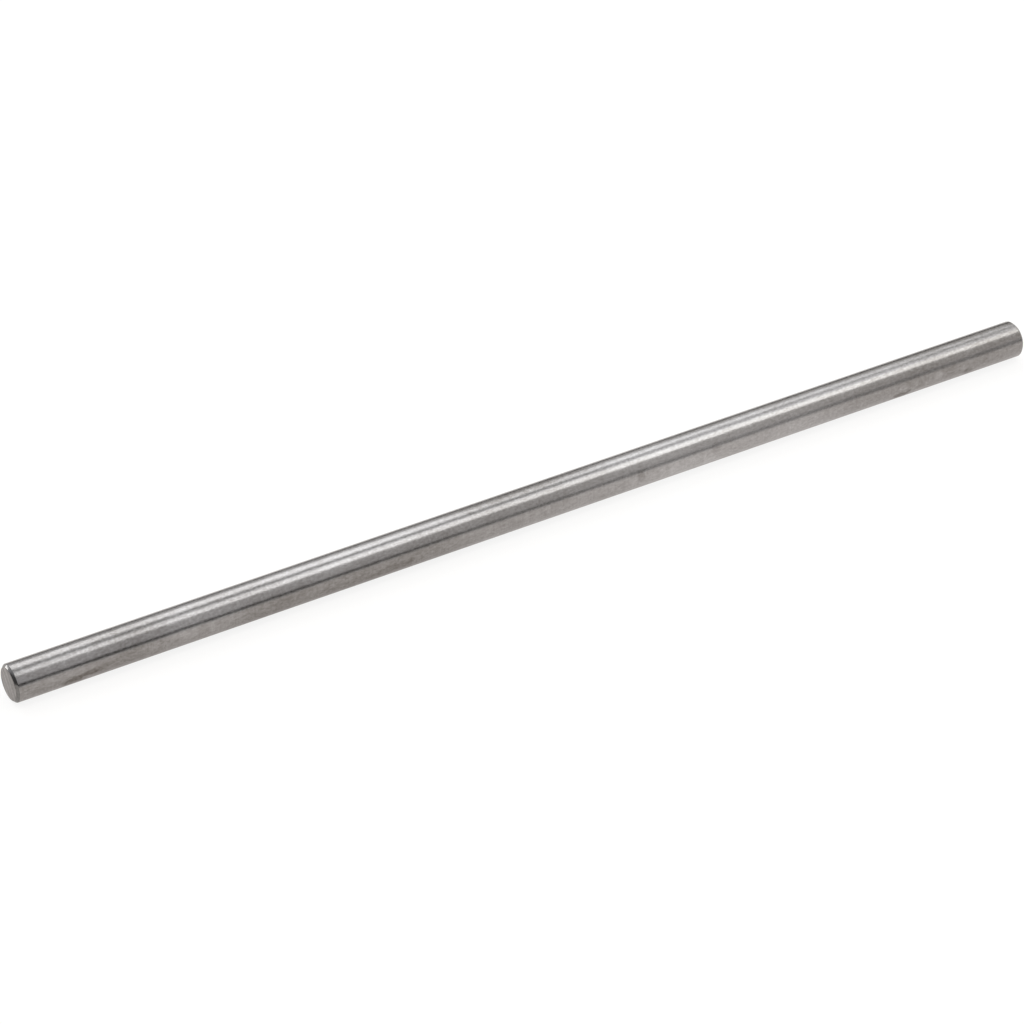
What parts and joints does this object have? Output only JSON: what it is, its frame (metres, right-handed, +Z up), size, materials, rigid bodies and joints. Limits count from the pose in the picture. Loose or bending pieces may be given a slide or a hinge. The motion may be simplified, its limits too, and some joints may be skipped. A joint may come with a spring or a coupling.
{
  "type": "plug gauge",
  "caption": "Slim plain cylindrical pin gauge of ground steel with flat, lightly chamfered ends, used to check the size of small holes.",
  "frame": {"origin": "on the pin's axis, at mid-length", "axes": "+X along the pin's axis, towards one end; +Z up, across the pin as it lies on its side"},
  "size_m": [0.05, 0.0016, 0.0016],
  "materials": {
    "ground_steel": "centreless ground and lapped, fine marks around the pin, flat ground ends"
  },
  "bodies": {
    "root": {"gauge_pin": "ground_steel"}
  },
  "joints": []
}
